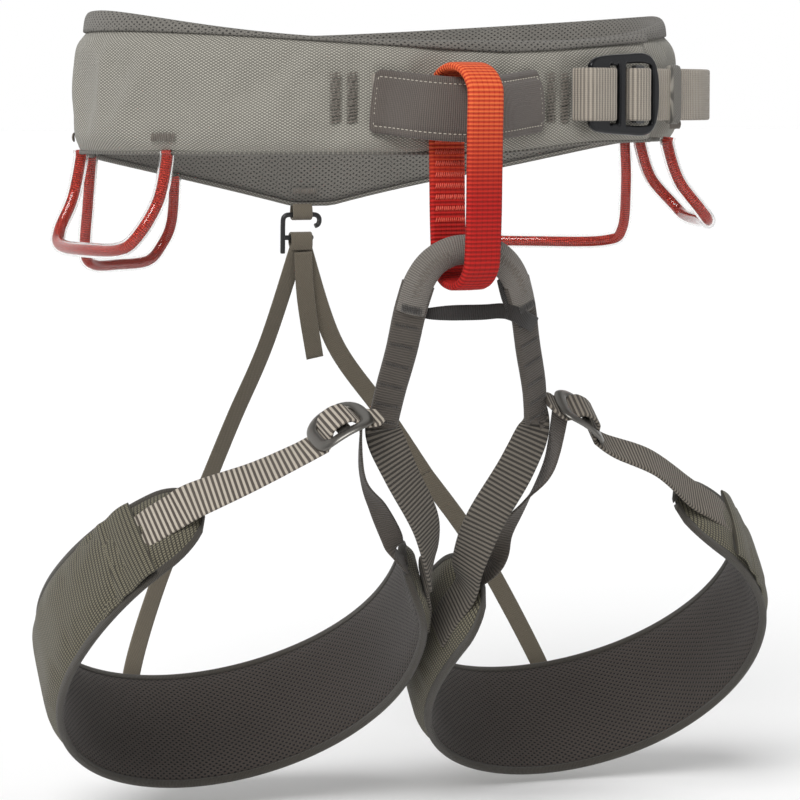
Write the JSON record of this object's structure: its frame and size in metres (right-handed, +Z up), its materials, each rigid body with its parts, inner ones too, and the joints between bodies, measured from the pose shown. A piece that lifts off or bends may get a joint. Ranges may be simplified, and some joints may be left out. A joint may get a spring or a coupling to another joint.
{
  "type": "climbing harness",
  "caption": "Padded sport climbing harness: waist belt with side buckle, red belay loop, adjustable leg loops, elastic risers and clear-tube gear loops.",
  "frame": {"origin": "middle of the waist opening, at half the belt's height in front", "axes": "+Z up, the wearer faces -Y, the wearer's left is +X"},
  "size_m": [0.372, 0.2711, 0.3951],
  "materials": {
    "belt_fabric": "matte",
    "mesh_fabric": "matte",
    "edge_binding": "matte",
    "taupe_webbing": "matte",
    "sleeve_fabric": "matte",
    "stitching": "matte",
    "belay_webbing": "matte",
    "belay_stitching": "matte",
    "dark_webbing": "matte",
    "striped_webbing": "matte",
    "black_elastic": "matte",
    "pad_fabric": "matte",
    "pad_mesh": "matte",
    "elastic": "matte",
    "black_metal": "satin",
    "black_plastic": "satin",
    "grey_metal": "satin",
    "clear_tube": "gloss",
    "red_cord": "matte"
  },
  "bodies": {
    "waist_belt": {"belt_binding": "edge_binding", "belt_edge_roll": "mesh_fabric", "belt_liner": "mesh_fabric", "belt_shell": "belt_fabric", "gear_loop_tacks": "stitching", "hip_keeper": "black_elastic", "rear_tab": "taupe_webbing", "riser_hook": "black_plastic", "riser_label": "elastic", "riser_yoke": "elastic", "tie_in_sleeve": "sleeve_fabric", "tie_in_tacks": "stitching", "tie_in_webbing": "taupe_webbing", "waist_buckle_frame": "black_metal", "waist_strap_fixed": "taupe_webbing", "waist_strap_tail": "taupe_webbing"},
    "waist_slider": {"waist_buckle_slider": "black_metal", "waist_strap": "taupe_webbing"},
    "waist_tail": {"waist_strap_end": "taupe_webbing"},
    "belay_loop": {"belay_loop_webbing": "belay_webbing", "belay_loop_tacks": "belay_stitching"},
    "leg_bridge": {"bridge_arch_core": "dark_webbing", "bridge_keeper": "black_elastic", "bridge_sleeve": "sleeve_fabric", "bridge_tacks": "stitching", "bridge_web_left": "dark_webbing", "bridge_web_right": "dark_webbing"},
    "riser_mid": {"riser_left_upper": "elastic", "riser_right_upper": "elastic"},
    "riser_end_left": {"riser_left_lower": "elastic"},
    "riser_end_right": {"riser_right_lower": "elastic"},
    "leg_loop_left": {"leg_left_binding": "edge_binding", "leg_left_buckle": "grey_metal", "leg_left_buckle_strap": "striped_webbing", "leg_left_inner_strap": "dark_webbing", "leg_left_outer_strap": "striped_webbing", "leg_left_pad_liner": "pad_mesh", "leg_left_pad_shell": "pad_fabric", "leg_left_riser_pocket": "dark_webbing", "leg_left_strap_patch": "pad_fabric", "leg_left_tail_strap": "dark_webbing"},
    "leg_loop_right": {"leg_right_binding": "edge_binding", "leg_right_buckle": "grey_metal", "leg_right_buckle_strap": "striped_webbing", "leg_right_inner_strap": "dark_webbing", "leg_right_outer_strap": "striped_webbing", "leg_right_pad_liner": "pad_mesh", "leg_right_pad_shell": "pad_fabric", "leg_right_riser_pocket": "dark_webbing", "leg_right_strap_patch": "pad_fabric", "leg_right_tail_strap": "dark_webbing"},
    "gear_loop_front_right": {"gear_loop_front_right_sheath": "clear_tube", "gear_loop_front_right_cord": "red_cord"},
    "gear_loop_rear_right": {"gear_loop_rear_right_sheath": "clear_tube", "gear_loop_rear_right_cord": "red_cord"},
    "gear_loop_front_left": {"gear_loop_front_left_sheath": "clear_tube", "gear_loop_front_left_cord": "red_cord"},
    "gear_loop_rear_left": {"gear_loop_rear_left_sheath": "clear_tube", "gear_loop_rear_left_cord": "red_cord"}
  },
  "joints": [
    {"name": "waist_slider_slide", "type": "slide", "parent": "waist_belt", "child": "waist_slider", "axis": [0.9374, 0.3481, 0], "range_m": [-0.0017, 0.0017]},
    {"name": "waist_tail_flex", "type": "hinge", "parent": "waist_belt", "child": "waist_tail", "pos_m": [0.12484, -0.07648, 0.002], "axis": [0, 0, 1], "range_deg": [-30, 4], "stiffness_Nm_per_rad": 0.02},
    {"name": "belay_swing", "type": "hinge", "parent": "waist_belt", "child": "belay_loop", "pos_m": [-0.016, -0.134, -0.005], "axis": [1, 0, 0], "range_deg": [-14, 3]},
    {"name": "bridge_swing", "type": "hinge", "parent": "belay_loop", "child": "leg_bridge", "pos_m": [-0.0147, -0.134, -0.069], "axis": [1, 0, 0], "range_deg": [-5, 16]},
    {"name": "riser_mid_slide", "type": "slide", "parent": "waist_belt", "child": "riser_mid", "axis": [0, 1, 0], "range_m": [-0.019, 0.006], "deforming": ["riser_left_upper", "riser_right_upper"]},
    {"name": "leg_left_swing", "type": "hinge", "parent": "leg_bridge", "child": "leg_loop_left", "pos_m": [0.0348, -0.1, -0.153], "axis": [1, 0, 0], "range_deg": [-8, 8], "stiffness_Nm_per_rad": 2, "springref_deg": 1.4},
    {"name": "riser_left_end_slide", "type": "slide", "parent": "riser_mid", "child": "riser_end_left", "axis": [0, 0.6099, 0.7925], "range_m": [-0.033, 0.033], "deforming": ["riser_left_lower"]},
    {"name": "leg_right_swing", "type": "hinge", "parent": "leg_bridge", "child": "leg_loop_right", "pos_m": [-0.0432, -0.1, -0.153], "axis": [1, 0, 0], "range_deg": [-8, 8], "stiffness_Nm_per_rad": 2, "springref_deg": 1.39},
    {"name": "riser_right_end_slide", "type": "slide", "parent": "riser_mid", "child": "riser_end_right", "axis": [0, 0.6099, 0.7925], "range_m": [-0.033, 0.033], "deforming": ["riser_right_lower"]},
    {"name": "gear_loop_front_right_swing", "type": "hinge", "parent": "waist_belt", "child": "gear_loop_front_right", "pos_m": [-0.14243, -0.01458, -0.02809], "axis": [-0.2017, 0.9794, -0.0094], "range_deg": [-6, 25], "stiffness_Nm_per_rad": 0.06, "springref_deg": 0.32},
    {"name": "gear_loop_rear_right_swing", "type": "hinge", "parent": "waist_belt", "child": "gear_loop_rear_right", "pos_m": [-0.10968, 0.07237, -0.03615], "axis": [0.7826, 0.6045, -0.1489], "range_deg": [-6, 25], "stiffness_Nm_per_rad": 0.06, "springref_deg": 0.12},
    {"name": "gear_loop_front_left_swing", "type": "hinge", "parent": "waist_belt", "child": "gear_loop_front_left", "pos_m": [0.1348, -0.02241, -0.0228], "axis": [0.3168, 0.9485, -0.008], "range_deg": [-25, 6], "stiffness_Nm_per_rad": 0.06, "springref_deg": -0.46},
    {"name": "gear_loop_rear_left_swing", "type": "hinge", "parent": "waist_belt", "child": "gear_loop_rear_left", "pos_m": [0.11015, 0.06671, -0.03372], "axis": [-0.7486, 0.6345, -0.1926], "range_deg": [-25, 6], "stiffness_Nm_per_rad": 0.06, "springref_deg": -0.17}
  ],
  "couplings": [
    {"joint": "bridge_swing", "follows": "belay_swing", "ratio": -1},
    {"joint": "riser_mid_slide", "follows": "belay_swing", "m_per_rad": 0.064},
    {"joint": "riser_left_end_slide", "follows": "leg_left_swing", "m_per_rad": 0.2246},
    {"joint": "riser_right_end_slide", "follows": "leg_right_swing", "m_per_rad": 0.2246}
  ]
}
